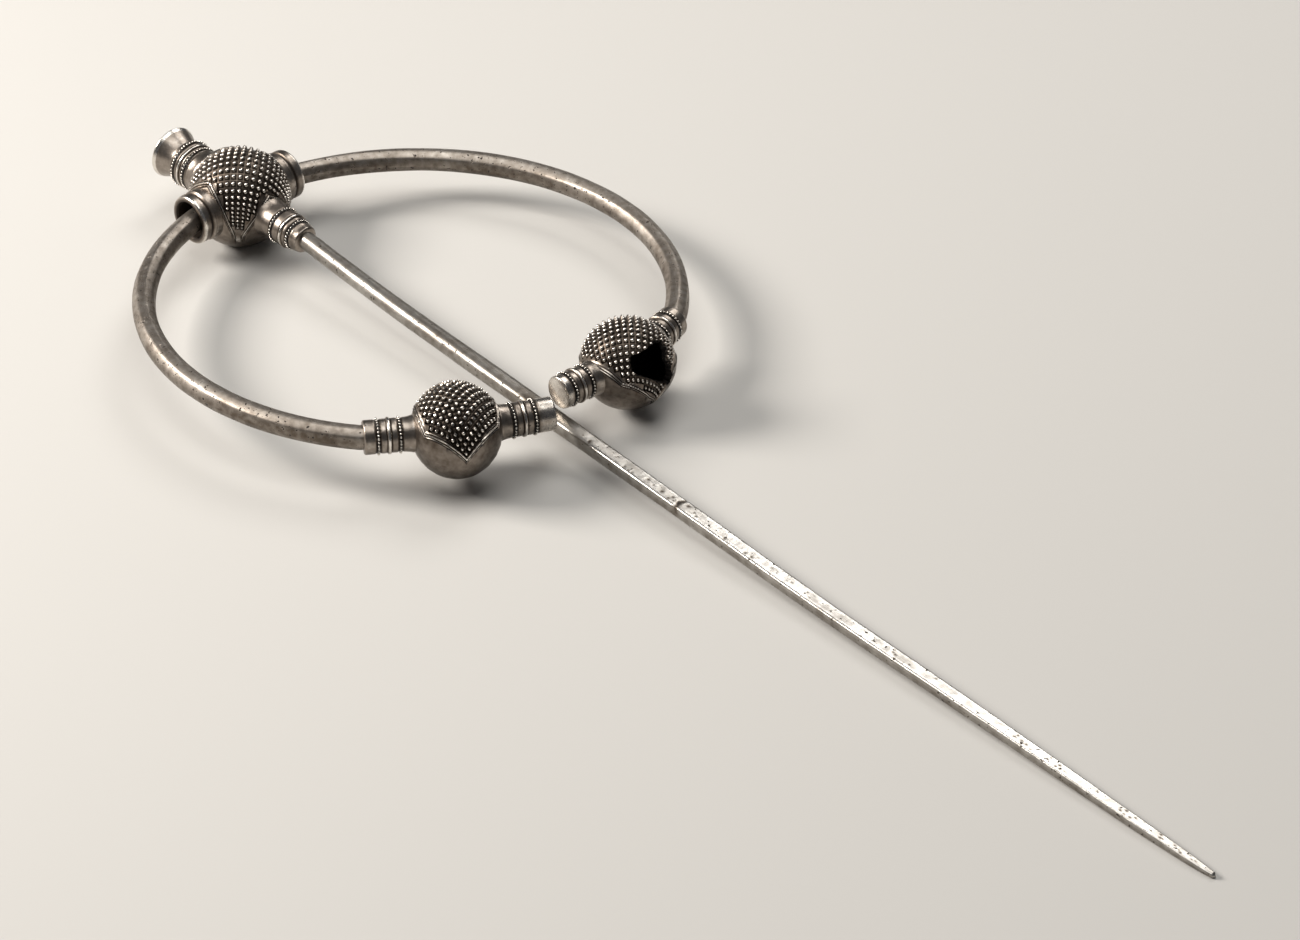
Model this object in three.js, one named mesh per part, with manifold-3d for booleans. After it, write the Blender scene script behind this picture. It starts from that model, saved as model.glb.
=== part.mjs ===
// Silver penannular brooch: an open hoop with two studded ball ends, and a long pin whose ball head is
// bored and swings on the hoop. It lies on a table. Millimetres, +X along the pin to its tip, +Z up,
// +Y towards the broken ball end, origin on the table under the middle of the pin's head.
import * as THREE from "three";
import { mergeVertices } from "three/addons/utils/BufferGeometryUtils.js";
import Module from "manifold-3d";

const wasm = await Module();
wasm.setup();
const rad = THREE.MathUtils.degToRad;

const GAP = 0.3; // clearance between two pieces that touch on the real brooch
const TURNED_SIDES = 14; // flats round a collar, a socket or a bore
const SMALLEST_DETAIL = 0.05; // finer steps than this are merged away

// The hoop is a round rod bent to an open circle. Its plane leans a little, because it rests on the pin.
const ROD_RADIUS = 3.1;
const ROD_SIDES = 12;
const HOOP_RADIUS = 67.6; // to the middle of the rod
const HOOP_ASKEW = 2.6; // degrees from +X to the hoop's middle, seen from the pin's head
const HOOP_CLIMB = { alongX: 0.7, alongY: -1.33 }; // degrees
const HOOP_STEPS = 54;
const HAMMER_DEPTH = 0.07; // of the dents on the rod

// A terminal is a hollow ball with a neck over the end of the rod and a finial that faces the gap.
// Angles are degrees in the hoop's plane from +X. Seen from the hoop's middle, the ball stands at
// ballAt and the rod enters the neck at seamAt. The finial points along finialWay. The ball stands
// ballInset inside the rod's circle, and squash flattens it along its own line.
const LEFT_END = {
  ballAt: -29.1, ballInset: 3, seamAt: -48.8, finialWay: 67.1, finialLength: 24.5, radius: 12.3, squash: 0.94,
};
const RIGHT_END = {
  ballAt: 18.4, ballInset: 4, seamAt: 38, finialWay: -91, finialLength: 22, radius: 12.1, squash: 0.99,
};
const BALL_WALL = 1;
const STUB_INSIDE = 8; // length of rod inside a neck
const STUB_GAP = 0.5; // round that length, which leaves the circle at a slight bend
const NECK_RADIUS = ROD_RADIUS + STUB_GAP + 0.65;
const BEADED_RING = { height: 0.5, width: 1.3, fromBall: [13.9, 19.3] };
const PLAIN_RING = { height: 0.3, width: 1, fromBall: 16.6 };
const STUD_DEPTH = 0.75;
const PLAIN_SINK = 0.35; // share of the stud depth that the plain part of a ball lies under the tips
const PLAIN_BANDS = 3; // of facets, from the studs to the bottom of a ball
const END_STUDS = { pitch: 9.2, rows: 14, reach: 55 }; // pitch and reach in degrees of the ball
const ARM_ROOT = 0.6; // share of a ball's radius at which its collars start, inside it
const EDGE = 0.4; // bevel at the rims and mouths
const HOLE_OUTLINE = [
  // corners of the broken-out hole: degrees round from +X, then degrees above the hoop's plane
  [-35.4, 40.8], [-20.4, 43.0], [1.9, 47.1], [19.6, 49.5], [35.9, 43.1], [31.7, 31.4],
  [23.3, 21.9], [25.5, 11.2], [25.7, -14.4], [18.2, -11.6], [1.4, -1.1], [-12.8, 8.2],
  [-29.0, 16.5], [-35.1, 21.8], [-36.0, 31.4],
];

// The pin's head is a ball with four arms: a socket on each side takes the hoop, a flared finial points
// back, and a collar in front holds the shaft. Lengths run from the middle of the ball. A ring is given
// as its distance from there, its width and its height over the collar.
const HEAD_RADIUS = 13.5;
const FLAT_DEPTH = 0.75; // worn off the bottom, where the ball stands
const HEAD_HEIGHT = HEAD_RADIUS - FLAT_DEPTH;
const HEAD_YAW = 3; // degrees that the head is turned from the shaft's line
const HEAD_DROOP = 3.5; // degrees that the collar points down
const HEAD_SHIFT = -1.4; // of the head along the hoop, from the pin's line
// The head's field ends at its reach above each arm. Between the arms it runs down in four lobes, past
// the shoulder by a curve that the flare sets, as far as the lobe's own reach. Beyond crowdFrom the rows
// draw closer together, in the end by the share crowding, and crowdOver is how gradually.
const HEAD_STUDS = {
  pitch: 10, rows: 24, reach: 60.5, shoulder: 25, flare: 0.0075, lobe: 98,
  crowdFrom: 62, crowdOver: 12, crowding: 0.51,
};
const SOCKET_LENGTH = 17.05;
// The curved rod lies this far behind the bore's middle line in the ball, and as far before it at the
// mouth that is farther round the hoop.
const ROD_SETBACK = (SOCKET_LENGTH - HEAD_SHIFT) ** 2 / (4 * HOOP_RADIUS);
const BORE_CLEARANCE = 0.6;
const BORE_RADIUS = ROD_RADIUS + ROD_SETBACK + BORE_CLEARANCE;
const ROD_LIFT = -0.35; // of the rod, which hangs under the bore's middle line
const SOCKET = { band: BORE_RADIUS + 1.9, groove: BORE_RADIUS + 1.3, lip: BORE_RADIUS + 1.7, bandEnd: 13.7 };
const FINIAL = {
  collar: 6.05, waist: 5.2, waistAt: 22.2, rim: 7.3, length: 27.6,
  rings: [[16.5, 1.4, 0.4], [18.4, 1, 0.35], [20.2, 1.4, 0.6]],
};

// The shaft is round where it leaves the head, then a square-edged blade that tapers to a blunt tip.
// Each station gives its place along the pin as a share of the length, then the section's middle across
// and above the table, and its width, thickness and squareness: 2 is round and 8 nearly square.
const SHAFT_RADIUS = 2.45; // inside the boss
const SHAFT_INSIDE = 4.5;
const SHAFT_SIDES = 16;
const PIN_LENGTH = 347.2; // from the middle of the head's ball to the tip
const STATIONS = [
  { along: 0.0864, middle: [0, 10.87], section: [4.9, 4.9, 2] },
  { along: 0.173, middle: [0, 8.85], section: [5.0, 4.9, 2] },
  { along: 0.282, middle: [0, 7.35], section: [5.1, 4.7, 2.5] },
  { along: 0.3945, middle: [0, 6.1], section: [4.4, 3.8, 4.5] },
  { along: 0.5125, middle: [0, 4.65], section: [4.2, 3.0, 8] },
  { along: 0.6335, middle: [0, 2.95], section: [4.0, 2.8, 8] },
  { along: 0.7775, middle: [0, 2.25], section: [3.65, 2.55, 8] },
  { along: 0.893, middle: [0, 1.4], section: [3.0, 2.2, 7] },
  { along: 0.959, middle: [0, 0.98], section: [2.45, 1.96, 6] },
  { along: 0.9937, middle: [0.1, 0.7], section: [1.6, 1.4, 4] },
];
const SECTIONS_PER_STATION = 3;
const TIP = { size: 1.1, squareness: 3 };

// The collar in front of the head narrows to a boss that the shaft is let into. Each of its rings comes
// with the collar's radius there.
const COLLAR = {
  radius: 4.9, boss: SHAFT_RADIUS + GAP + 1, bossFrom: 24.4, length: 26.6,
  rings: [[17.6, 1.4, 0.35, 4.8], [21.1, 1, 0.2, 4.6], [23.3, 1.3, 0.35, 4.05]],
};

const tarnishedSilver = new THREE.MeshStandardMaterial({ color: 0x8b857c, metalness: 1, roughness: 0.45 });
const brightSilver = new THREE.MeshStandardMaterial({ color: 0xb8b5af, metalness: 1, roughness: 0.35 });

// Makes a manifold-3d solid of a closed three.js geometry, turned the right way out.
function solidOf(geometry) {
  const bare = new THREE.BufferGeometry();
  bare.setAttribute("position", geometry.getAttribute("position"));
  bare.setIndex(geometry.getIndex());
  const merged = mergeVertices(bare, 1e-4);
  const corners = Array.from(merged.getIndex().array);
  const whole = corners.flatMap((_, k) => {
    const face = k % 3 === 0 ? corners.slice(k, k + 3) : [];
    return new Set(face).size === 3 ? face : [];
  });
  const make = (triVerts) =>
    new wasm.Manifold(
      new wasm.Mesh({ numProp: 3, vertProperties: merged.getAttribute("position").array, triVerts }),
    );
  const made = make(new Uint32Array(whole));
  return made.volume() > 0 ? made : make(new Uint32Array(whole.reverse()));
}

// A named mesh of a solid.
function meshOf(name, solid, material) {
  const { vertProperties, triVerts } = solid.simplify(SMALLEST_DETAIL).getMesh();
  const geometry = new THREE.BufferGeometry();
  geometry.setAttribute("position", new THREE.BufferAttribute(vertProperties, 3));
  geometry.setIndex(new THREE.BufferAttribute(triVerts, 1));
  geometry.computeVertexNormals();
  const mesh = new THREE.Mesh(geometry, material);
  mesh.name = name;
  return mesh;
}

// A geometry of points and triangles.
function geometryOf(points, faces) {
  return new THREE.BufferGeometry().setFromPoints(points).setIndex(faces.flat());
}

// A closed skin over rings of points, all with as many points. Each end is a fan round its middle.
function loft(rings) {
  const count = rings[0].length;
  const points = rings.flat();
  const faces = [];
  for (let ring = 0; ring + 1 < rings.length; ring += 1) {
    for (let i = 0; i < count; i += 1) {
      const here = ring * count + i;
      const next = ring * count + ((i + 1) % count);
      faces.push([here, next, next + count], [here, next + count, here + count]);
    }
  }
  for (const ring of [0, rings.length - 1]) {
    const middle = new THREE.Vector3();
    rings[ring].forEach((point) => middle.addScaledVector(point, 1 / count));
    const hub = points.push(middle) - 1;
    for (let i = 0; i < count; i += 1) {
      const here = ring * count + i;
      const next = ring * count + ((i + 1) % count);
      faces.push(ring === 0 ? [hub, next, here] : [hub, here, next]);
    }
  }
  return geometryOf(points, faces);
}

// A turned solid along +X: profile is a list of [distance, radius], closed on the axis at both ends.
function turned(profile) {
  const [first, last] = [profile[0][0], profile.at(-1)[0]];
  const outline = [[first, 0], ...profile, [last, 0]];
  const points = outline.map(([along, radius]) => new THREE.Vector2(radius, along));
  return new THREE.LatheGeometry(points, TURNED_SIDES, Math.PI / TURNED_SIDES).rotateZ(-Math.PI / 2);
}

// Three points of a profile: a ring that stands round a collar.
function ringRound([middle, width, height], collar) {
  return [[middle - width / 2, collar], [middle, collar + height], [middle + width / 2, collar]];
}

// A round bar along +X that cuts a bore.
function boreBar(from, to, radius) {
  const length = to - from;
  return new THREE.CylinderGeometry(radius, radius, length, TURNED_SIDES + 4)
    .rotateZ(-Math.PI / 2)
    .translate(from + length / 2, 0, 0);
}

// A ball with square studs on its upper part. They stand on a square grid of cells measured in degrees
// from the top: a point (x, y) lies hypot(x, y) degrees down the ball, in the direction of (x, y).
// The grid is turned 45 degrees to +X, and hasStud(x, y) tells which cells carry a stud. A stud is a
// four-sided point over a sunk cell edge. Below the grid the ball is plain.
function studdedBall(radius, { pitch, rows, crowdFrom = 0, crowdOver = 1, crowding = 0 }, hasStud) {
  const half = (rows * pitch) / 2;
  const plain = radius - STUD_DEPTH * PLAIN_SINK;
  const points = [];
  const addPoint = ([x, y], size) => {
    const [down, round] = [rad(Math.hypot(x, y)), Math.atan2(y, x)];
    const flat = Math.sin(down) * size;
    const point = new THREE.Vector3(flat * Math.cos(round), flat * Math.sin(round), Math.cos(down) * size);
    return points.push(point) - 1;
  };
  const softStep = (x) => crowdOver * Math.log(1 + Math.exp((x - crowdFrom) / crowdOver));
  const onGrid = (i, j) => {
    const [p, q] = [i * pitch - half, j * pitch - half];
    const far = Math.max(Math.hypot(p, q), 1e-9);
    const closer = 1 - (crowding * (softStep(far) - softStep(0))) / far;
    return [(p - q) * Math.SQRT1_2 * closer, (p + q) * Math.SQRT1_2 * closer];
  };
  const inside = (i) => i >= 0 && i < rows;
  const studAt = (i, j) => inside(i) && inside(j) && hasStud(...onGrid(i + 0.5, j + 0.5));
  const corners = [];
  for (let j = 0; j <= rows; j += 1) {
    for (let i = 0; i <= rows; i += 1) {
      const besideStud = studAt(i, j) || studAt(i - 1, j) || studAt(i, j - 1) || studAt(i - 1, j - 1);
      corners.push(addPoint(onGrid(i, j), besideStud ? radius - STUD_DEPTH : plain));
    }
  }
  const cornerAt = (i, j) => corners[j * (rows + 1) + i];
  const faces = [];
  for (let j = 0; j < rows; j += 1) {
    for (let i = 0; i < rows; i += 1) {
      const cell = [cornerAt(i, j), cornerAt(i + 1, j), cornerAt(i + 1, j + 1), cornerAt(i, j + 1)];
      if (studAt(i, j)) {
        const tip = addPoint(onGrid(i + 0.5, j + 0.5), radius);
        cell.forEach((corner, k) => faces.push([corner, cell[(k + 1) % 4], tip]));
      } else {
        faces.push([cell[0], cell[1], cell[2]], [cell[0], cell[2], cell[3]]);
      }
    }
  }
  const edge = [];
  for (let k = 0; k < rows; k += 1) edge.push([k, 0]);
  for (let k = 0; k < rows; k += 1) edge.push([rows, k]);
  for (let k = rows; k > 0; k -= 1) edge.push([k, rows]);
  for (let k = rows; k > 0; k -= 1) edge.push([0, k]);
  let above = edge.map(([i, j]) => cornerAt(i, j));
  for (let band = 1; band < PLAIN_BANDS; band += 1) {
    const below = edge.map(([i, j]) => {
      const [x, y] = onGrid(i, j);
      const stretch = 1 + ((180 / Math.hypot(x, y) - 1) * band) / PLAIN_BANDS;
      return addPoint([x * stretch, y * stretch], plain);
    });
    above.forEach((corner, k) => {
      const next = (k + 1) % edge.length;
      faces.push([above[next], corner, below[k]], [above[next], below[k], below[next]]);
    });
    above = below;
  }
  const bottom = addPoint([180, 0], plain);
  above.forEach((corner, k) => faces.push([above[(k + 1) % edge.length], corner, bottom]));
  return geometryOf(points, faces);
}

// A point of the hoop's plane, by its angle and distance from the hoop's middle.
function inHoopPlane(degrees, distance) {
  const toMiddle = HOOP_RADIUS - ROD_SETBACK;
  return new THREE.Vector3(
    toMiddle * Math.cos(rad(HOOP_ASKEW)) + distance * Math.cos(rad(degrees)),
    toMiddle * Math.sin(rad(HOOP_ASKEW)) + distance * Math.sin(rad(degrees)),
    0,
  );
}

// Where a terminal's ball stands, and its neck's direction and length as far as the rod's seam.
function placeOf(end) {
  const ball = inHoopPlane(end.ballAt, HOOP_RADIUS - end.ballInset);
  const neck = inHoopPlane(end.seamAt, HOOP_RADIUS).sub(ball);
  return { ball, neckWay: neck.clone().normalize(), neckLength: neck.length() };
}

// The rod follows its circle the long way round and runs straight into both necks. Hammer dents
// lower its skin towards the rod's middle line.
function makeHoop() {
  const stubEnd = (end) => {
    const { ball, neckWay, neckLength } = placeOf(end);
    return ball.addScaledVector(neckWay, neckLength - STUB_INSIDE);
  };
  const sweep = 360 + LEFT_END.seamAt - RIGHT_END.seamAt;
  const line = [stubEnd(RIGHT_END)];
  for (let i = 0; i <= HOOP_STEPS; i += 1) {
    line.push(inHoopPlane(RIGHT_END.seamAt + (sweep * i) / HOOP_STEPS, HOOP_RADIUS));
  }
  line.push(stubEnd(LEFT_END));
  const round = Array.from({ length: ROD_SIDES }, (_, i) => {
    const turn = (2 * Math.PI * (i + 0.5)) / ROD_SIDES;
    return new THREE.Vector2(ROD_RADIUS * Math.cos(turn), ROD_RADIUS * Math.sin(turn));
  });
  const rod = new THREE.ExtrudeGeometry(new THREE.Shape(round), {
    extrudePath: new THREE.CatmullRomCurve3(line, false, "centripetal"),
    steps: HOOP_STEPS,
    bevelEnabled: false,
  });
  const middle = inHoopPlane(0, 0);
  const places = rod.getAttribute("position");
  const point = new THREE.Vector3();
  for (let i = 0; i < places.count; i += 1) {
    point.fromBufferAttribute(places, i).sub(middle);
    const along = Math.atan2(point.y, point.x);
    const onRod = new THREE.Vector3(Math.cos(along), Math.sin(along), 0).multiplyScalar(HOOP_RADIUS);
    const out = point.clone().sub(onRod);
    const around = Math.atan2(out.z, point.length() - HOOP_RADIUS);
    const dent = 0.5 + 0.5 * Math.sin(along * 19 + around * 4) * Math.cos(along * 7 - around * 2);
    if (Math.abs(out.length() - ROD_RADIUS) < HAMMER_DEPTH) out.setLength(ROD_RADIUS - HAMMER_DEPTH * dent);
    point.copy(middle).add(onRod).add(out);
    places.setXYZ(i, point.x, point.y, point.z);
  }
  return solidOf(rod);
}

// A terminal round the middle of its ball. The neck is bored for the rod right into the hollow.
function makeTerminal(end) {
  const { neckWay, neckLength } = placeOf(end);
  const neckAngle = Math.atan2(neckWay.y, neckWay.x);
  const finialAngle = rad(end.finialWay);
  const ballAngle = Math.atan2(
    Math.sin(finialAngle) - Math.sin(neckAngle),
    Math.cos(finialAngle) - Math.cos(neckAngle),
  );
  const ball = studdedBall(end.radius, END_STUDS, (x) => Math.abs(x) < END_STUDS.reach);
  const hollow = new THREE.SphereGeometry(end.radius - STUD_DEPTH - BALL_WALL, 12, 7);
  const [innerBeads, outerBeads] = BEADED_RING.fromBall;
  const collar = [
    [end.radius * ARM_ROOT, NECK_RADIUS],
    ...ringRound([innerBeads, BEADED_RING.width, BEADED_RING.height], NECK_RADIUS),
    ...ringRound([PLAIN_RING.fromBall, PLAIN_RING.width, PLAIN_RING.height], NECK_RADIUS),
    ...ringRound([outerBeads, BEADED_RING.width, BEADED_RING.height], NECK_RADIUS),
  ];
  const rim = [
    [end.finialLength - EDGE, NECK_RADIUS + EDGE / 2],
    [end.finialLength, NECK_RADIUS - EDGE / 2],
  ];
  return solidOf(ball.scale(end.squash, 1, 1).rotateZ(ballAngle))
    .add(solidOf(turned([...collar, ...rim]).rotateZ(finialAngle)))
    .add(solidOf(turned([...collar, [neckLength, NECK_RADIUS]]).rotateZ(neckAngle)))
    .subtract(solidOf(hollow.scale(end.squash, 1, 1).rotateZ(ballAngle)))
    .subtract(solidOf(boreBar(0, neckLength + 1, ROD_RADIUS + STUB_GAP).rotateZ(neckAngle)));
}

// A tapered plug through the wall of a terminal's ball, in the shape of the broken-out hole.
function makeHolePlug(end) {
  const outlineAt = (size) =>
    HOLE_OUTLINE.map(([round, above]) => {
      const flat = size * Math.cos(rad(above));
      return new THREE.Vector3(
        flat * Math.cos(rad(round)),
        flat * Math.sin(rad(round)),
        size * Math.sin(rad(above)),
      );
    });
  return solidOf(loft([outlineAt(end.radius * 0.6), outlineAt(end.radius * 1.2)]));
}

// The pin's head round the middle of its ball: collar along +X, finial along -X, bore along Y.
function makePinHead() {
  const { reach, shoulder, flare, lobe } = HEAD_STUDS;
  const shortOf = (over, beside) => over < reach + flare * Math.max(0, beside - shoulder) ** 2;
  const inField = (x, y) => {
    const [over, beside] = [Math.abs(x), Math.abs(y)];
    return shortOf(over, beside) && shortOf(beside, over) && Math.hypot(x, y) < lobe;
  };
  const root = HEAD_RADIUS * ARM_ROOT;
  const socket = [
    [root, SOCKET.band],
    [SOCKET.bandEnd, SOCKET.band],
    [SOCKET.bandEnd + EDGE, SOCKET.groove],
    [SOCKET.bandEnd + 3 * EDGE, SOCKET.groove],
    [SOCKET.bandEnd + 4 * EDGE, SOCKET.lip],
    [SOCKET_LENGTH - EDGE, SOCKET.lip],
    [SOCKET_LENGTH, SOCKET.lip - EDGE],
  ];
  const finial = [
    [root, FINIAL.collar],
    ...FINIAL.rings.flatMap((ring) => ringRound(ring, FINIAL.collar)),
    [FINIAL.waistAt, FINIAL.waist],
    [FINIAL.length - 2 * EDGE, FINIAL.rim],
    [FINIAL.length - EDGE, FINIAL.rim],
    [FINIAL.length, FINIAL.rim - EDGE],
  ];
  const collar = [
    [root, COLLAR.radius],
    ...COLLAR.rings.flatMap(([middle, width, height, radius]) => ringRound([middle, width, height], radius)),
    [COLLAR.bossFrom, COLLAR.boss],
    [COLLAR.length - EDGE, COLLAR.boss],
    [COLLAR.length, COLLAR.boss - EDGE],
  ];
  const bore = boreBar(-SOCKET_LENGTH - 1, SOCKET_LENGTH + 1, BORE_RADIUS);
  const shaftHole = boreBar(COLLAR.length - SHAFT_INSIDE - GAP, COLLAR.length + 1, SHAFT_RADIUS + GAP);
  return solidOf(studdedBall(HEAD_RADIUS, HEAD_STUDS, inField))
    .add(solidOf(turned(socket).rotateZ(Math.PI / 2)))
    .add(solidOf(turned(socket).rotateZ(-Math.PI / 2)))
    .add(solidOf(turned(finial).rotateZ(Math.PI)))
    .add(solidOf(turned(collar)))
    .subtract(solidOf(bore.rotateZ(Math.PI / 2)))
    .subtract(solidOf(shaftHole));
}

// One section of the shaft, standing across X: a circle or a square with rounded corners.
function shaftSection(middle, [width, thickness, squareness]) {
  const part = (value) => Math.sign(value) * Math.abs(value) ** (2 / squareness);
  return Array.from({ length: SHAFT_SIDES }, (_, i) => {
    const turn = (2 * Math.PI * i) / SHAFT_SIDES;
    const across = (width / 2) * part(Math.cos(turn));
    const up = (thickness / 2) * part(Math.sin(turn));
    return new THREE.Vector3(0, across, up).add(middle);
  });
}

// The shaft from the hole in the boss, through the stations along a smooth line, to the blunt tip.
function makePinShaft(head) {
  const inHead = (distance) => new THREE.Vector3(distance, 0, 0).applyMatrix4(head.matrix);
  const root = [COLLAR.length - SHAFT_INSIDE, COLLAR.length].map((distance) =>
    shaftSection(inHead(distance), [2 * SHAFT_RADIUS, 2 * SHAFT_RADIUS, 2]),
  );
  const middles = STATIONS.map(({ along, middle }) => new THREE.Vector3(along * PIN_LENGTH, ...middle));
  const line = new THREE.CatmullRomCurve3(middles);
  const sizes = new THREE.CatmullRomCurve3(STATIONS.map(({ section }) => new THREE.Vector3(...section)));
  const count = (STATIONS.length - 1) * SECTIONS_PER_STATION;
  const blade = Array.from({ length: count + 1 }, (_, i) =>
    shaftSection(line.getPoint(i / count), sizes.getPoint(i / count).toArray()),
  );
  const end = new THREE.Vector3(PIN_LENGTH, middles.at(-1).y, TIP.size / 2);
  const tip = shaftSection(end, [TIP.size, TIP.size, TIP.squareness]);
  return solidOf(loft([...root, ...blade, tip]));
}

// The table's top, as a block that cuts off what would be under it, in the frame of a placed object.
function tableUnder(placed) {
  const block = new THREE.BoxGeometry(2.1 * PIN_LENGTH, 100, 20).translate(0, 0, -10);
  return solidOf(block.applyMatrix4(placed.matrix.clone().invert()));
}

const ring = new THREE.Group();
ring.name = "ring";
ring.position.z = HEAD_HEIGHT + ROD_LIFT;
ring.rotation.set(rad(HOOP_CLIMB.alongY), rad(-HOOP_CLIMB.alongX), 0);
const hoop = meshOf("hoop", makeHoop(), tarnishedSilver);
const terminalLeft = meshOf("terminal_left", makeTerminal(LEFT_END), tarnishedSilver);
terminalLeft.position.copy(placeOf(LEFT_END).ball);
const brokenTerminal = makeTerminal(RIGHT_END).subtract(makeHolePlug(RIGHT_END));
const terminalRight = meshOf("terminal_right", brokenTerminal, tarnishedSilver);
terminalRight.position.copy(placeOf(RIGHT_END).ball);
ring.add(hoop, terminalLeft, terminalRight);

const pin = new THREE.Group();
pin.name = "pin";
const head = new THREE.Group();
head.name = "head";
head.position.set(0, HEAD_SHIFT, HEAD_HEIGHT);
head.rotation.set(0, rad(HEAD_DROOP), rad(HEAD_YAW), "ZYX");
head.updateMatrix();
head.add(meshOf("pin_head", makePinHead().subtract(tableUnder(head)), tarnishedSilver));
pin.updateMatrix();
pin.add(head, meshOf("pin_shaft", makePinShaft(head).subtract(tableUnder(pin)), brightSilver));

const brooch = new THREE.Group();
brooch.name = "penannular_brooch";
brooch.add(ring, pin);

export default brooch;
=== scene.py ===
import bmesh
import bpy
import numpy as np
from mathutils import Matrix, Vector


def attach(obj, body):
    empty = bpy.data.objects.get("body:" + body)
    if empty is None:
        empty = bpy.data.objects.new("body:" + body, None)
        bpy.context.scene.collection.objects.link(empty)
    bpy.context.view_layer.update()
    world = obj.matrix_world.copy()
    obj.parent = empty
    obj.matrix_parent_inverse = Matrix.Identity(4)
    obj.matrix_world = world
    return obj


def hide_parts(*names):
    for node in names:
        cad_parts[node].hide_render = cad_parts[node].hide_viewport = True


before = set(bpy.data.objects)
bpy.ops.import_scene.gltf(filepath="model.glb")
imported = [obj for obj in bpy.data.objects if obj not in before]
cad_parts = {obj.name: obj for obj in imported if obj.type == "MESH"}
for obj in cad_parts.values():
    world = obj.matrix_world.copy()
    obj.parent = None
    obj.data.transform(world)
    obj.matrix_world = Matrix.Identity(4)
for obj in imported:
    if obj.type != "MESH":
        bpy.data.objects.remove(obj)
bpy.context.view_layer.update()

# Camera: it stands off to the right of the pin's tip and looks down at 35 degrees through a long lens,
# as in a museum's catalogue shot.
camera_data = bpy.data.cameras.new("camera")
camera_data.lens = 129.05
camera_data.sensor_width = 36.0
camera_data.clip_start = 0.01
camera_data.clip_end = 20.0
camera = bpy.data.objects.new("camera", camera_data)
camera.location = (0.8531, -0.6053, 0.6584)
look_at = Vector((0.1509, 0.00945, 0.0))
camera.rotation_euler = (look_at - camera.location).to_track_quat("-Z", "Y").to_euler()
bpy.context.scene.collection.objects.link(camera)
bpy.context.scene.camera = camera


# Table: a plain pale board with a matt paint, which shows soft contact shadows and no pattern.
# It is only the ground for the picture.
TABLE_HALF = 3.0  # metres


def linear(hex_colour):
    """An sRGB hex colour as linear red, green, blue and full cover."""
    parts = np.array([int(hex_colour[i : i + 2], 16) for i in (1, 3, 5)]) / 255.0
    low = parts / 12.92
    high = ((parts + 0.055) / 1.055) ** 2.4
    return (*np.where(parts <= 0.04045, low, high).tolist(), 1.0)


table_corners = [(TABLE_HALF * x, TABLE_HALF * y, 0) for x, y in ((-1, -1), (1, -1), (1, 1), (-1, 1))]
table_mesh = bpy.data.meshes.new("table")
table_mesh.from_pydata(table_corners, [], [(0, 1, 2, 3)])
table = bpy.data.objects.new("table", table_mesh)
bpy.context.scene.collection.objects.link(table)
table_paint = bpy.data.materials.new("matt_pale_paint")
table_paint.use_nodes = True
table_surface = table_paint.node_tree.nodes["Principled BSDF"]
table_surface.inputs["Base Color"].default_value = linear("#c6c4c0")
table_surface.inputs["Roughness"].default_value = 0.85
table_mesh.materials.append(table_paint)


# Light: a large soft window to the left of the picture draws the bright lines on the rods. A wide
# softbox behind and one above whiten the flat faces, and a dim grey studio stands all round.
LIT_SPOT = Vector((0.10, 0.0, 0.0))
SOFTBOXES = {
    "softbox_left": {"at": (-0.62, -0.62, 0.62), "size": (0.46, 0.36), "watts": 18.0, "colour": "#fff9f2"},
    "softbox_back": {"at": (-0.16, 0.62, 0.78), "size": (0.50, 0.45), "watts": 3.4, "colour": "#fdfaf6"},
    "softbox_over": {"at": (0.10, -0.10, 1.60), "size": (1.10, 1.10), "watts": 11.0, "colour": "#fffdf9"},
}
for name, box in SOFTBOXES.items():
    lamp = bpy.data.lights.new(name, "AREA")
    lamp.shape = "RECTANGLE"
    lamp.size, lamp.size_y = box["size"]
    lamp.energy = box["watts"]
    lamp.color = linear(box["colour"])[:3]
    light = bpy.data.objects.new(name, lamp)
    light.location = box["at"]
    light.rotation_euler = (LIT_SPOT - light.location).to_track_quat("-Z", "Y").to_euler()
    bpy.context.scene.collection.objects.link(light)
studio = bpy.data.worlds.new("studio")
studio.use_nodes = True
studio_light = studio.node_tree.nodes["Background"]
studio_light.inputs["Color"].default_value = linear("#8d8f94")
studio_light.inputs["Strength"].default_value = 0.26
bpy.context.scene.world = studio
bpy.context.scene.view_settings.view_transform = "Standard"


# Pin shaft: forged silver bar, round where it leaves the head and hammered to a square-edged blade below the
# hoop. Its upper faces are painted lighter, as lit from above, and its edges are worn bright, with pits
# darkened by tarnish and painted shade and one nick across the top.
MM = 0.001
MERGE_WITHIN = 2e-6  # metres
PIN_STATIONS = np.array([
    # along X, shift along Y, height of the middle, width, thickness, squareness, twist in degrees
    [30, 0, 10.87, 4.9, 4.9, 2.0, 0],
    [60, 0, 8.85, 5.0, 4.9, 2.0, 0],
    [98, 0, 7.35, 5.1, 4.7, 2.5, 0],
    [137, 0, 6.1, 4.4, 3.8, 4.5, 0],
    [178, 0, 4.65, 4.2, 3.0, 8.0, 0],
    [220, 0, 2.95, 4.0, 2.8, 8.0, 0],
    [270, 0, 2.25, 3.65, 2.55, 8.0, 0],
    [310, 0, 1.4, 3.0, 2.2, 7.0, 0],
    [333, 0, 0.98, 2.45, 1.96, 6.0, 0],
    [345, 0.15, 0.76, 1.75, 1.5, 4.0, 4],
    [348.6, 0.3, 0.62, 1.2, 1.15, 3.0, 8],
])
SHAFT_ROOT = [21.5, 23.5]  # the two rings inside the collar
SHAFT_FROM, SHAFT_TO, SHAFT_STEP = 25.0, 348.2, 0.4
TIP_AT = 348.5
SHAFT_SIDES = 56
SHAFT_FREE_FROM, SHAFT_FREE_AT = 26.0, 34.0  # between them the bar leaves the head's own line
BLOWS_FROM, BLOWS_FULL_AT = 24, 34
FACETS_FULL_TO, FACETS_GONE_AT = 75, 115
BLADE_FROM, BLADE_FULL_AT = 120, 150
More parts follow.
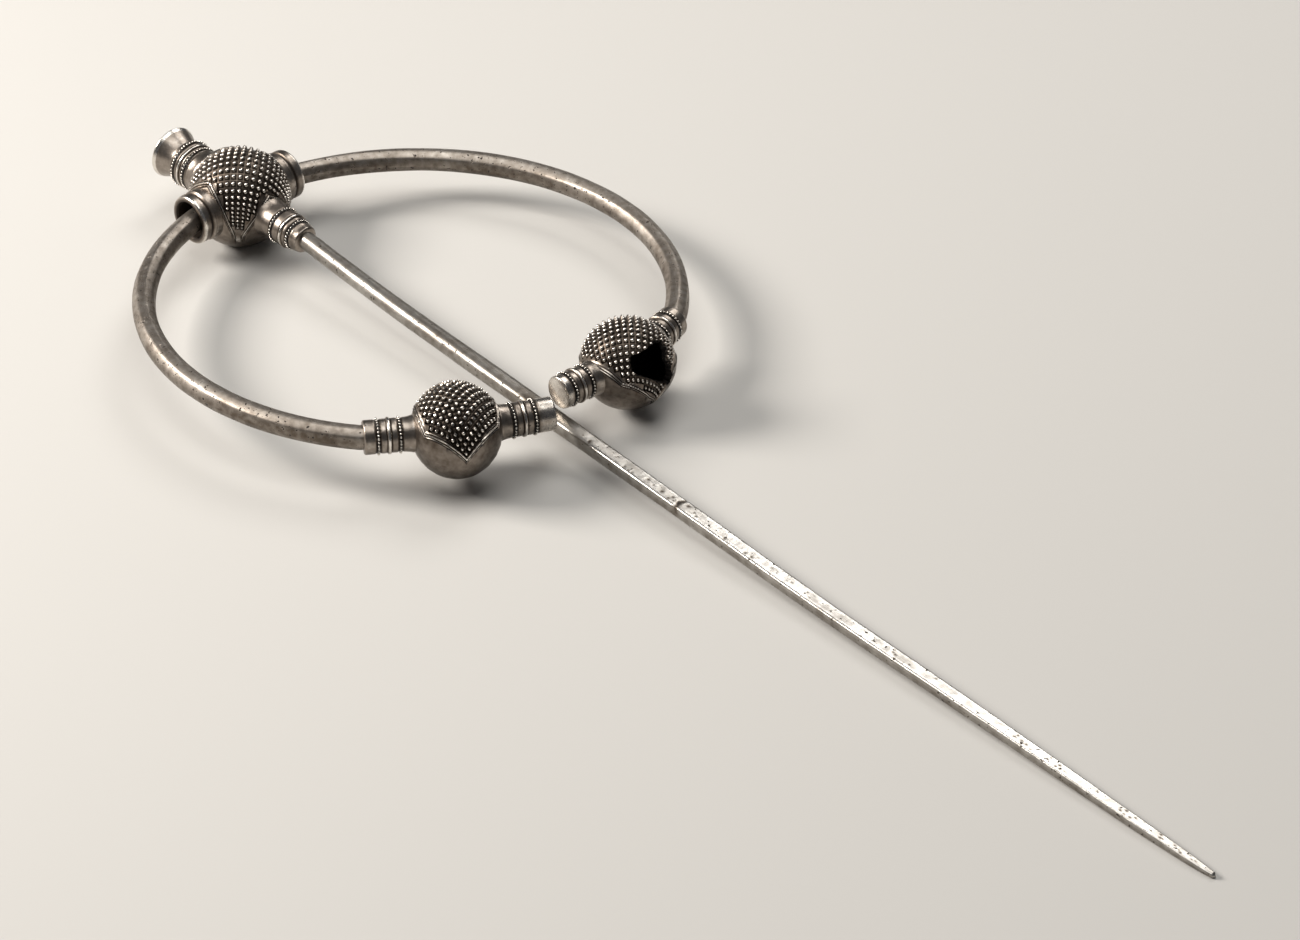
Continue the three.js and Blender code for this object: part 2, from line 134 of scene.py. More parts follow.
STEP_AT = 114.5  # a fold left by the hammer on the upper left side
NICK_AT = 173.0
FACET_DEPTH, BLOW_DEPTH, NICK_DEPTH, PIT_DEPTH, STEP_DEPTH = 0.012, 0.035, 0.20, 0.07, 0.12
PIT_CLUSTERS = (  # each with its middle along the shaft, its spread and its number of pits
    (155, 9, 9), (174, 5, 8), (205, 16, 7), (262, 12, 5), (293, 4, 7), (299, 3, 5), (321, 5, 9), (338, 6, 6),
)
HEAD_HEIGHT = 12.75
HEAD_SHIFT = -1.4  # of the head along its bore, from the shaft's line
HEAD_YAW, HEAD_DROOP = 3.0, 3.5  # degrees
HEAD_TURN = np.array(
    Matrix.Rotation(np.radians(HEAD_YAW), 3, "Z") @ Matrix.Rotation(np.radians(HEAD_DROOP), 3, "Y")
)
HEAD_PLACE = np.array([0.0, HEAD_SHIFT, HEAD_HEIGHT])


def fade(value, start, end):
    """0 at the start, 1 at the end and straight between. The end may be the smaller one."""
    return np.clip((value - start) / (end - start), 0, 1)


def swell(value, at, half, power=2):
    """A smooth hump from 0 to 1 and back: e to the minus ((value - at) / half) to the power."""
    return np.exp(-(((value - at) / half) ** power))


def smooth_through(x, knots, values):
    """A curve through the knots: on each span a cubic whose slopes are the means of its neighbours'."""
    slopes = np.gradient(values, knots)
    k = np.clip(np.searchsorted(knots, x) - 1, 0, len(knots) - 2)
    span = knots[k + 1] - knots[k]
    t = (x - knots[k]) / span
    rise = values[k] * (2 * t**3 - 3 * t**2 + 1) + values[k + 1] * (3 * t**2 - 2 * t**3)
    return rise + span * (slopes[k] * (t**3 - 2 * t**2 + t) + slopes[k + 1] * (t**3 - t**2))


def ripple(x, y, seed, scale):
    """Smooth uneven waves of about -1 to 1: the mean of eight sines in seeded directions, times 1.6."""
    chance = np.random.default_rng(seed)
    turns = chance.uniform(0, 2 * np.pi, 8)
    steps = chance.uniform(0.6, 1.7, 8) * scale
    shifts = chance.uniform(0, 2 * np.pi, 8)
    waves = [
        np.sin(step * (x * np.cos(turn) + y * np.sin(turn)) + shift)
        for turn, step, shift in zip(turns, steps, shifts)
    ]
    return np.mean(waves, axis=0) * 1.6


def sheet_faces(rows, columns, joined_rows, joined_columns):
    """Quads between neighbouring points of a grid. A joined direction runs on from its last line to
    its first."""
    i = np.arange(rows if joined_rows else rows - 1)[:, None]
    j = np.arange(columns if joined_columns else columns - 1)[None, :]
    below = ((i + 1) % rows) * columns
    quads = [i * columns + j, i * columns + (j + 1) % columns, below + (j + 1) % columns, below + j]
    return np.stack(quads, -1).reshape(-1, 4)


def skin(name, sheets):
    """One object of closed sheets. A sheet is points in mm on a grid, a value at each point from 0 in a
    hollow to 1 on a worn tip, which joins tarnish and polish with painted shade in the hollows and painted
    light on upper sides, and which grid directions are joined. Points that meet are merged."""
    points, wear_and_shade_values, faces, start = [], [], [], 0
    for grid, wear_and_shade, joined in sheets:
        rows, columns = grid.shape[:2]
        flat = grid.reshape(-1, 3)
        quads = sheet_faces(rows, columns, *joined)
        corner = flat[quads]
        side = np.cross(corner[:, 2] - corner[:, 0], corner[:, 3] - corner[:, 1])
        if np.sum(side * (corner.mean(axis=1) - flat.mean(axis=0))) < 0:
            quads = quads[:, ::-1]
        points.append(flat)
        wear_and_shade_values.append(np.broadcast_to(wear_and_shade, (rows, columns)).ravel())
        faces.append(quads + start)
        start += len(flat)
    points, wear_and_shade_values, faces = np.concatenate(points), np.concatenate(wear_and_shade_values), np.concatenate(faces)
    mesh = bpy.data.meshes.new(name)
    mesh.vertices.add(len(points))
    mesh.vertices.foreach_set("co", (points * MM).ravel())
    mesh.loops.add(faces.size)
    mesh.loops.foreach_set("vertex_index", faces.ravel())
    mesh.polygons.add(len(faces))
    mesh.polygons.foreach_set("loop_start", np.arange(len(faces)) * 4)
    mesh.update(calc_edges=True)
    # The point value holds tarnish and polish together with painted shade in the hollows and painted light
    # on upper sides.
    mesh.attributes.new("wear_and_shade", "FLOAT", "POINT").data.foreach_set("value", wear_and_shade_values.astype(np.float32))
    work = bmesh.new()
    work.from_mesh(mesh)
    bmesh.ops.remove_doubles(work, verts=work.verts, dist=MERGE_WITHIN)
    work.to_mesh(mesh)
    work.free()
    smooth_shaded(mesh)
    piece = bpy.data.objects.new(name, mesh)
    bpy.context.scene.collection.objects.link(piece)
    return piece


def smooth_shaded(mesh):
    """Smooth shading, with an edge left sharp where its two faces meet at more than 45 degrees."""
    mesh.shade_smooth()
    mesh.set_sharp_from_angle(angle=np.radians(45.0))


def add_node(tree, kind, inputs=None, **settings):
    """Adds a node, sets its properties, and links or sets its sockets by name or number."""
    node = tree.nodes.new(kind)
    for key, value in settings.items():
        setattr(node, key, value)
    for socket, value in (inputs or {}).items():
        if isinstance(value, bpy.types.NodeSocket):
            tree.links.new(value, node.inputs[socket])
        else:
            node.inputs[socket].default_value = value
    return node


def silver(name, hollow, tarnish, metal, rubbed_and_lit, settings):
    """Silver with its tarnish. One value runs from the hollows to the worn tips: the mesh's point value,
    which holds real tarnish and polish together with painted shade in the hollows and painted light on upper
    sides, plus soft patches and a finer cloud, less the pits. It picks the colour, the metal's share and the
    roughness. Dents, grain and pits are also shaded as relief."""
    material = bpy.data.materials.new(name)
    material.use_nodes = True
    tree = material.node_tree
    surface = tree.nodes["Principled BSDF"]
    place = add_node(tree, "ShaderNodeTexCoord").outputs["Object"]
    # The mesh's point value: tarnish and polish with painted shade and painted light.
    wear_and_shade = add_node(tree, "ShaderNodeAttribute", attribute_name="wear_and_shade").outputs["Fac"]

    def noise(size_mm, detail, stretch=(1, 1, 1)):
        spot = add_node(tree, "ShaderNodeMapping", {"Vector": place, "Scale": stretch}).outputs["Vector"]
        cells = {"Vector": spot, "Scale": 1 / (size_mm * MM), "Detail": detail}
        return add_node(tree, "ShaderNodeTexNoise", cells).outputs["Fac"]

    def reckon(operation, first, second):
        return add_node(tree, "ShaderNodeMath", {0: first, 1: second}, operation=operation).outputs["Value"]

    def either_way(value, amount):
        return reckon("MULTIPLY", reckon("SUBTRACT", value, 0.5), amount)

    def ranged(value, start, end, low=0.0, high=1.0):
        limits = {"Value": value, "From Min": start, "From Max": end, "To Min": low, "To Max": high}
        return add_node(tree, "ShaderNodeMapRange", limits).outputs["Result"]

    def bumped(height, deep_mm, under=None, invert=False):
        sockets = {"Height": height, "Distance": deep_mm * MM, "Strength": 1.0}
        if under is not None:
            sockets["Normal"] = under
        return add_node(tree, "ShaderNodeBump", sockets, invert=invert).outputs["Normal"]

    patches = either_way(noise(settings["patch_mm"], 3.0), settings["patches"])
    cloud = either_way(noise(settings["cloud_mm"], 6.0), settings["clouds"])
    pits = ranged(noise(settings["pit_mm"], 2.0), settings["pit_from"], settings["pit_from"] + 0.07)
    value = reckon("ADD", reckon("ADD", wear_and_shade, patches), cloud)
    value = reckon("SUBTRACT", value, reckon("MULTIPLY", pits, settings["pits"]))
    ramp = add_node(tree, "ShaderNodeValToRGB", {"Fac": value})
    stops = [(0.04, hollow), (0.34, tarnish), (0.62, metal), (0.92, rubbed_and_lit)]
    while len(ramp.color_ramp.elements) < len(stops):
        ramp.color_ramp.elements.new(0.5)
    for element, (spot, colour) in zip(ramp.color_ramp.elements, stops):
        element.position = spot
        element.color = linear(colour)
    scratches = either_way(noise(0.5, 2.0, settings["stretch"]), 0.16)
    rough = reckon("ADD", ranged(value, 0.1, 0.95, settings["dull"], settings["shine"]), scratches)
    dents = bumped(noise(settings["dent_mm"], 2.0), settings["dent_deep"])
    grain = bumped(noise(0.35, 4.0), settings["grain_deep"], under=dents)
    tree.links.new(ramp.outputs["Color"], surface.inputs["Base Color"])
    tree.links.new(ranged(value, 0.0, 0.35, 0.35, 1.0), surface.inputs["Metallic"])
    tree.links.new(rough, surface.inputs["Roughness"])
    tree.links.new(bumped(pits, 0.12, under=grain, invert=True), surface.inputs["Normal"])
    return material


def finished(piece, body, node, material):
    """Gives a piece its finish and its moving body, and hides the CAD node that it stands for."""
    piece.data.materials.clear()
    piece.data.materials.append(material)
    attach(piece, body)
    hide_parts(node)


# Bright forged silver: rubbed pale, with brown in the pits and fine scratches along the bar.
bright_silver = silver(
    "bright_forged_silver", "#2a221c", "#6d655c", "#aaa6a0", "#dfdcd7",
    {"patch_mm": 16, "patches": 0.35, "cloud_mm": 2.6, "clouds": 0.5, "pit_mm": 1.1, "pit_from": 0.66,
     "pits": 0.6, "dull": 0.5, "shine": 0.24, "stretch": (0.06, 1, 1), "dent_mm": 3.5, "dent_deep": 0.12,
     "grain_deep": 0.02},
)

along = np.concatenate([SHAFT_ROOT, np.arange(SHAFT_FROM, SHAFT_TO, SHAFT_STEP), [TIP_AT]])[:, None]
knots = PIN_STATIONS[:, 0]
shift, height, width, thickness, squareness, twist = (
    smooth_through(np.clip(along, knots[0], knots[-1]), knots, PIN_STATIONS[:, k]) for k in range(1, 7)
)
# Inside the collar the bar follows the head's own line, and it leaves it within a few millimetres.
in_collar = along * HEAD_TURN[:, 0] + HEAD_PLACE
follow = fade(along, SHAFT_FREE_AT, SHAFT_FREE_FROM)
follow = follow * follow * (3 - 2 * follow)
shift = shift * (1 - follow) + in_collar[:, 1:2] * follow
height = height * (1 - follow) + in_collar[:, 2:3] * follow
# The section lies between a circle, at squareness 2, and a rectangle.
around = np.linspace(0, 2 * np.pi, SHAFT_SIDES, endpoint=False)[None, :]
across = np.abs(2 * np.cos(around) / width) ** squareness
upward = np.abs(2 * np.sin(around) / thickness) ** squareness
reach = (across + upward) ** (-1 / squareness)
# Eight soft hammer facets run along the round part and die out in the blade.
facets = FACET_DEPTH * fade(along, FACETS_GONE_AT, FACETS_FULL_TO) * np.cos(8 * around + 0.6)
blows = BLOW_DEPTH * fade(along, BLOWS_FROM, BLOWS_FULL_AT) * ripple(along / 6.0, around * 1.5, 5, 1.0)
nick = swell(along - 0.5 * np.cos(2 * around), NICK_AT, 0.45) * np.clip(np.sin(around) + 0.2, 0, 1)
past_step = along - STEP_AT
step = swell(around, 2.2, 0.5) / (1 + np.exp(-past_step / 0.25)) * np.exp(-np.maximum(past_step, 0) / 14)
# Each pit is a small round dip on the top face.
dice = np.random.default_rng(4)
pits = np.zeros_like(reach)
for middle, spread, count in PIT_CLUSTERS:
    places = dice.normal(middle, spread, count)
    turns = dice.uniform(0.9, 2.25, count)
    radii = dice.uniform(0.2, 0.42, count)
    for place, turn, radius in zip(places, turns, radii):
        gap = np.hypot(along - place, (around - turn) * 1.6)
        pits = np.maximum(pits, swell(gap, 0, radius))
reach = reach + facets + blows - NICK_DEPTH * nick - PIT_DEPTH * pits - STEP_DEPTH * step
reach[[0, -1]] = 0.0
turn = around + np.radians(twist)
shaft_points = np.stack([
    np.broadcast_to(along, reach.shape),
    shift + reach * np.cos(turn),
    np.maximum(height + reach * np.sin(turn), 0.0),
], -1)
# The blade's upper side is painted lighter where light falls on it, and its four arrises are worn bright;
# pits, the nick and the step are painted darker, for tarnish and shade.
painted_top_light = 0.18 * np.clip(np.sin(around), 0, 1) ** 0.5
edge_rub = 0.2 * swell(np.abs(np.cos(around)) - np.abs(np.sin(around)), 0, 0.22)
rubbed_and_lit = (painted_top_light + edge_rub) * fade(along, BLADE_FROM, BLADE_FULL_AT)
shaft_wear_light_and_shade = 0.50 + rubbed_and_lit - 0.6 * nick - 0.5 * pits - 0.15 * step
shaft = skin("pin_shaft_skin", [(shaft_points, shaft_wear_light_and_shade, (False, True))])
finished(shaft, "pin", "pin_shaft", bright_silver)


# Hoop: a round silver rod, hammered and bent to an open circle, brown with old tarnish. Its ends are
# let into the necks of the two terminals.
ROD_RADIUS = 3.1
ROD_SIDES = 48
ROD_SAG = 0.35  # of the rod under the bore's middle line
HOOP_RADIUS = 67.6  # to the middle of the rod
HOOP_ASKEW = 2.6  # degrees from +X to the hoop's middle, seen from the pin's head
HOOP_SIDEWAYS, HOOP_LENGTHWAYS = -1.33, -0.7  # degrees that the hoop leans about +X and +Y
ARC_POINTS = 900
FACET_SHARE = 0.55  # of the eight-sided bar in the rod's section, the rest is round
DENT_DEPTH = 0.05
SEAM_EASE = 0.6  # degrees between a neck's end and the first point of the true circle
STUB_INSIDE = np.array([7.5, 5, 2.5])  # the rod's points inside a neck, from its end
SOCKET_LENGTH = 17.05
# The rod's circle passes this far behind the head's middle, and leaves the sockets' mouths as far
# before theirs.
ROD_SETBACK = (SOCKET_LENGTH - HEAD_SHIFT) ** 2 / (4 * HOOP_RADIUS)
HOOP_TURN = np.array(
    Matrix.Rotation(np.radians(HOOP_SIDEWAYS), 3, "X") @ Matrix.Rotation(np.radians(HOOP_LENGTHWAYS), 3, "Y")
)
HOOP_PLACE = np.array([0.0, 0.0, HEAD_HEIGHT - ROD_SAG])
# The ball and the seam of each end are in degrees round the hoop, the finial's way is from +X. The ball
# lies inset from the rod's circle, and squash is its share of a true ball along the diamond's short way.
LEFT_END = {"ball_at": -29.1, "inset": 3.0, "seam_at": -48.8, "finial_way": 67.1, "finial_length": 24.5,
            "radius": 12.3, "squash": 0.94}
RIGHT_END = {"ball_at": 18.4, "inset": 4.0, "seam_at": 38.0, "finial_way": -91.0, "finial_length": 22.0,
             "radius": 12.1, "squash": 0.99}


def in_hoop_plane(degrees, distance):
    """A point of the hoop's plane by its angle and distance from the hoop's middle."""
    to_middle = HOOP_RADIUS - ROD_SETBACK
    askew, turn = np.radians(HOOP_ASKEW), np.radians(degrees)
    return np.stack([
        to_middle * np.cos(askew) + distance * np.cos(turn),
        to_middle * np.sin(askew) + distance * np.sin(turn),
        0 * turn,
    ], -1)


def place_of(end):
    """The middle of a terminal's ball, and the direction and length of its neck up to the rod's seam."""
    ball = in_hoop_plane(end["ball_at"], HOOP_RADIUS - end["inset"])
    neck = in_hoop_plane(end["seam_at"], HOOP_RADIUS) - ball
    length = float(np.linalg.norm(neck))
    return ball, neck / length, length


def stub(end, inside):
    """Points on a neck's line, at distances inside its end."""
    ball, way, length = place_of(end)
    return ball + (length - inside)[:, None] * way


# Hammered silver: satin and mid grey, in clouds of brown tarnish.
tarnished_silver = silver(
    "tarnished_hammered_silver", "#1e1814", "#675d53", "#a39b92", "#e2dcd4",
    {"patch_mm": 14, "patches": 0.45, "cloud_mm": 1.8, "clouds": 0.60, "pit_mm": 0.9, "pit_from": 0.64,
     "pits": 0.6, "dull": 0.52, "shine": 0.36, "stretch": (1, 1, 0.2), "dent_mm": 3.0, "dent_deep": 0.08,
     "grain_deep": 0.02},
)

arc_from = RIGHT_END["seam_at"] + SEAM_EASE
arc_to = 360 + LEFT_END["seam_at"] - SEAM_EASE
hoop_line = np.concatenate([
    stub(RIGHT_END, STUB_INSIDE),
    in_hoop_plane(np.linspace(arc_from, arc_to, ARC_POINTS), HOOP_RADIUS),
    stub(LEFT_END, STUB_INSIDE[::-1]),
])
run = np.gradient(hoop_line, axis=0)
run /= np.linalg.norm(run, axis=1)[:, None]
outward = np.stack([run[:, 1], -run[:, 0], 0 * run[:, 2]], -1)
# Both ends are doubled, and the outer copy is drawn to a point.
outward = np.concatenate([outward[:1], outward, outward[-1:]])
hoop_line = np.concatenate([hoop_line[:1], hoop_line, hoop_line[-1:]])
distance = np.concatenate([[0], np.cumsum(np.linalg.norm(np.diff(hoop_line, axis=0), axis=1))])[:, None]
around = np.linspace(0, 2 * np.pi, ROD_SIDES, endpoint=False)[None, :]
# The section is an eight-sided bar worn nearly round, and the blows wander along it.
from_flat = (around + 0.25 * np.sin(distance / 23.0)) % (np.pi / 4) - np.pi / 8
eight_sided = np.cos(np.pi / 8) / np.cos(from_flat)
dents = DENT_DEPTH * (1 + ripple(distance / 5.0, around * 1.5, 11, 1.0))
rod = ROD_RADIUS * (1 - FACET_SHARE + FACET_SHARE * eight_sided) - dents
rod[[0, -1]] = 0.0
hoop_points = hoop_line[:, None] + (rod * np.cos(around))[..., None] * outward[:, None]
hoop_points[..., 2] += rod * np.sin(around)
hoop_points = hoop_points @ HOOP_TURN.T + HOOP_PLACE
# The rod's upper half is painted lighter, as light falls on it from above.
hoop_wear_and_top_light = 0.42 + 0.16 * np.clip(np.sin(around), 0, 1)
hoop = skin("hoop_skin", [(hoop_points, hoop_wear_and_top_light, (False, True))])
finished(hoop, "hoop", "hoop", tarnished_silver)


# Terminals: two hollow silver balls raised in halves, with a diamond field of cut studs on top inside
# a raised border of three lines, and plain below. Each has a soldered neck and a finial with beaded rings.
STUD_DEPTH = 0.95
TIP_HALF = 0.50  # of a stud's round tip, as a share of half its cell
PLAIN_SINK = 0.26  # of the plain ball under the studs' tips
NECK_RADIUS = 4.25
BORDER_LINES = ((0.6, 0.6, 0.6), (3.3, 1.2, 1.0), (6.4, 0.8, 0.8))  # degrees out, half width, share
BORDER_GROOVES = (1.7, 5.1, 7.8)  # degrees out
CROWDED_FROM, CROWDED_OVER = 62, 12  # degrees from the top
END_RINGS = ((13.9, 1.3), (19.3, 1.3))  # beaded, each with its place from the ball's middle and its width
END_RIDGES = ((16.6, 0.9, 0.35),)  # plain, each with its place, its width and its height
BEAD_RADIUS, BEAD_LIFT, BEADS_ROUND = 0.30, 0.13, 31
BORDER_STEPS = 14  # of the grid over the border
OUTER_STEPS, OUTER_STEP = 8, 1.5  # of the grid past the border, which is stretched to the bottom
DICE_SIDE = 60  # at least as many as there are studs across a field
# A field's grid reaches half degrees from the top each way, in rows of studs with so many samples to a
# stud, and then on over the border. Its sides and ends are in degrees, and the front side may lean.
LEFT_STUDS = {"half": 65.6, "rows": (16, 14), "samples": 9, "crowding": 0.0, "border": 9.0,
              "side": 66.2, "ends": 55.5, "lean": 0.0}
RIGHT_STUDS = {"half": 92.4, "rows": (22, 22), "samples": 7, "crowding": 0.0, "border": 9.0,
               "side": 79.5, "ends": 66.0, "lean": 0.28}


def stud_relief(u, v, chance):
    """Height from 0 to 1 over a stud's cell, and its value from dark to bright: lowest in the hollows
    between studs, for tarnish and painted shade, and highest on the worn tips. A square pyramid carries a
    round tip, some tips have a dimple, and a thin raised line runs between the cells."""
    square = np.maximum(np.abs(u), np.abs(v))
    ring = np.hypot(u, v)
    flank = 0.62 * fade(square, 0.80, 0.34)
    dome = np.sqrt(np.clip(1 - (ring / TIP_HALF) ** 2, 0, 1))
    tip = np.where(ring < TIP_HALF, 0.60 + 0.40 * dome, 0)
    tip = tip - np.where(chance > 0.6, 0.26, 0.0) * swell(ring, 0, 0.16)
    line = 0.16 * fade(square, 0.86, 1.0)
    height = np.maximum(np.maximum(flank, tip), line)
    wear_and_shade = np.where(tip > 0.5, 0.35 + 0.75 * fade(tip, 0.60, 0.90), 0.03 + 0.5 * flank)
    return height, np.maximum(wear_and_shade, line * 2.4)


def border_relief(beyond):
    """Three raised lines with grooves between, at a distance in degrees beyond the field's edge. Gives the
    height in mm above the plain ball, and a value that is brighter on the lines and darker in the grooves,
    for tarnish and painted shade."""
    lines = sum(share * swell(beyond, at, half, 4) for at, half, share in BORDER_LINES)
    grooves = sum(swell(beyond, at, 0.45) for at in BORDER_GROOVES)
    return 0.30 * lines - 0.24 * grooves, 0.36 * lines - 0.5 * grooves


def drawn_in(p, crowding):
    """Degrees on the stud grid as true degrees down the ball. The rows draw closer past about 62
    degrees: p becomes p - 12 crowding (ln(1 + e^((p - 62) / 12)) - ln(1 + e^(-62 / 12)))."""
    far = np.abs(p)
    start = np.logaddexp(0, -CROWDED_FROM / CROWDED_OVER)
    bent = np.logaddexp(0, (far - CROWDED_FROM) / CROWDED_OVER) - start
    return np.sign(p) * (far - CROWDED_OVER * crowding * bent)


def on_diagonals(p, q):
    """Degrees along the stud grid's two ways as degrees along the ball's own X and Y."""
    return (p - q) / np.sqrt(2), (p + q) / np.sqrt(2)


def studded_ball(radius, studs, in_field, edge_distance, squash, seed):
    """A ball as one square grid. In degrees from the top, the grid is square over the studs and the
    border, then it is stretched along straight rays to the bottom. Returns points and wear."""
    half = studs["half"]
    pitch_p, pitch_q = (2 * half / rows for rows in studs["rows"])
    border = half + np.linspace(0, studs["border"], BORDER_STEPS + 1)[1:]
    outer = np.arange(1, OUTER_STEPS + 1) * OUTER_STEP

    def lines(rows):
        field = np.linspace(0, half, rows // 2 * studs["samples"] + 1)
        side = np.concatenate([field, border, border[-1] + outer])
        return np.concatenate([-side[:0:-1], side])

    p, q = np.meshgrid(lines(studs["rows"][0]), lines(studs["rows"][1]), indexing="ij")
    square = np.maximum(np.maximum(np.abs(p), np.abs(q)), 1e-9)
    share = np.clip((square - border[-1]) / outer[-1], 0, 1)
    shrink = np.minimum(1, border[-1] / square)
    p, q = p * shrink, q * shrink
    row, column = np.floor((p + half) / pitch_p), np.floor((q + half) / pitch_q)
    middle_p, middle_q = (row + 0.5) * pitch_p - half, (column + 0.5) * pitch_q - half
    on_grid = np.maximum(np.abs(p), np.abs(q)) <= half + 1e-6
    chance = np.random.default_rng(seed).uniform(0, 1, (DICE_SIDE, DICE_SIDE, 2))
    row, column = (np.clip(way, 0, DICE_SIDE - 1).astype(int) for way in (row, column))
    pick = chance[row, column]
    u, v = (p - middle_p) / (pitch_p / 2), (q - middle_q) / (pitch_q / 2)
    relief, rub_and_shade = stud_relief(u, v, pick[..., 0])
    crowding = studs["crowding"]
    studded = on_grid & in_field(*on_diagonals(drawn_in(middle_p, crowding), drawn_in(middle_q, crowding)))
    p, q = drawn_in(p, crowding), drawn_in(q, crowding)
    away = np.maximum(np.hypot(p, q), 1e-9)
    stretch = 1 + share * (180 / away - 1)
    p, q = p * stretch, q * stretch
    x, y = on_diagonals(p, q)
    wires, wire_wear_and_shade = border_relief(edge_distance(p, q, x, y))
    uneven = 0.92 + 0.08 * pick[..., 1]
    size = np.where(studded, radius - STUD_DEPTH * (1 - relief * uneven), radius - PLAIN_SINK + wires)
    # Hollows between studs and the border's grooves are dark, for tarnish and painted shade; tips and raised
    # lines are worn bright.
    wear_and_shade = np.where(studded, rub_and_shade, 0.47 + wire_wear_and_shade)
    down, turn = np.radians(np.hypot(x, y)), np.arctan2(y, x)
    flat = np.sin(down) * size
    points = np.stack([flat * np.cos(turn) * squash, flat * np.sin(turn), np.cos(down) * size], -1)
    return points, wear_and_shade


def turned(far, size, wear_and_shade, closed=False, sides=80):
    """A sheet turned round +X, from distances along it, radii and wear. A closed profile joins its last
    point to its first."""
    turn = np.linspace(0, 2 * np.pi, sides, endpoint=False)
    points = np.stack([
        np.broadcast_to(far[:, None], (len(far), sides)),
        size[:, None] * np.cos(turn),
        size[:, None] * np.sin(turn),
    ], -1)
    return points, wear_and_shade[:, None], (closed, True)


def turned_arm(far, size, wear_and_shade):
    """A turned sheet that is drawn to a point at both ends."""
    far = np.concatenate([far[:1], far, far[-1:]])
    wear_and_shade = np.concatenate([wear_and_shade[:1], wear_and_shade, wear_and_shade[-1:]])
    return turned(far, np.concatenate([[0.0], size, [0.0]]), wear_and_shade)


def collar_profile(start, end, base, beads, ridges, step=0.14):
    """Distances, radii and a value from dark to bright along a collar: smooth metal, a sunk channel under
    each beaded ring that is painted darker for tarnish and shade, and plain raised ridges with a dark line
    of tarnish and painted shade on both sides."""
    far = np.arange(start, end + step / 2, step)
    size = np.full(len(far), base)
    wear_and_shade = np.full(len(far), 0.58)
    for at, width in beads:
        sunk = swell(far, at, width * 0.55, 6)
        size = size - 0.22 * sunk
        wear_and_shade = wear_and_shade - 0.55 * sunk
    for at, width, tall in ridges:
        size = size + tall * np.sqrt(np.clip(1 - ((far - at) / (width / 2)) ** 2, 0, 1))
        beside = swell(np.abs(far - at) - width / 2, 0.12, 0.16)
        size = size - 0.10 * beside
        wear_and_shade = wear_and_shade + 0.35 * swell(far, at, width * 0.35) - 0.40 * beside
    return far, size, wear_and_shade


def round_off(size, amounts):
    """Takes the amounts off the last radii of a profile, so that its end has a worn edge."""
    size[-len(amounts):] -= np.array(amounts)


def beaded_ring(at, middle_radius, bead_radius, count, seed):
    """A ring of little balls round +X, each a coarse sphere of its own, as closed sheets side by side."""
    chance = np.random.default_rng(seed)
    spin = (np.arange(count) + chance.uniform(-0.08, 0.08, count)) * 2 * np.pi / count
    size = bead_radius * chance.uniform(0.92, 1.06, count)[:, None, None, None]
    middles = np.stack([0 * spin + at, middle_radius * np.cos(spin), middle_radius * np.sin(spin)], -1)
    beads = unit_ball(6, 8)[None] * size + middles[:, None, None]
    return [(bead, 0.86, (False, True)) for bead in beads]


def unit_ball(rows, columns):
    """A ball of radius 1 as a grid of rows from pole to pole."""
    down = np.linspace(0, np.pi, rows)[:, None]
    turn = np.linspace(0, 2 * np.pi, columns, endpoint=False)[None, :]
    return np.stack([np.sin(down) * np.cos(turn), np.sin(down) * np.sin(turn), np.cos(down) + 0 * turn], -1)


def turned_by(sheets, degrees):
    """Sheets turned about +Z."""
    turn = np.radians(degrees)
    across = np.array([[np.cos(turn), -np.sin(turn), 0], [np.sin(turn), np.cos(turn), 0], [0, 0, 1]])
    return [(points @ across.T, wear_and_shade, joined) for points, wear_and_shade, joined in sheets]


def cut_away(piece, cutters):
    """Takes the cutters' space out of a piece for good, and removes the cutters."""
    for cutter in cutters:
        taking = piece.modifiers.new(cutter.name, "BOOLEAN")
        taking.operation = "DIFFERENCE"
        taking.solver = "MANIFOLD"
        taking.object = cutter
    bpy.context.view_layer.update()
    whole = piece.evaluated_get(bpy.context.evaluated_depsgraph_get())
    mesh = bpy.data.meshes.new_from_object(whole)
    piece.modifiers.clear()
    piece.data = mesh
    for cutter in cutters:
        bpy.data.objects.remove(cutter)
    smooth_shaded(mesh)


def soldered(piece, other):
    """Takes another piece's mesh into a piece's own mesh, and removes the other."""
    work = bmesh.new()
    for part in (piece, other):
        work.from_mesh(part.data)
    work.to_mesh(piece.data)
    work.free()
    bpy.data.objects.remove(other)


def beyond_end_sides(p, q, studs):
    """Degrees beyond the sides of a terminal's diamond. They bow out a little between its points, and
    the front one can lean outward along its length."""
    bow_p, bow_q = (2.5 * (np.minimum(np.abs(way), 66) / 66) ** 2 for way in (p, q))
    front = p + bow_q - studs["lean"] * np.clip(q + 15, -15, 60)
    return np.maximum(np.maximum(front, bow_q - p), np.abs(q) + bow_p) - studs["side"]


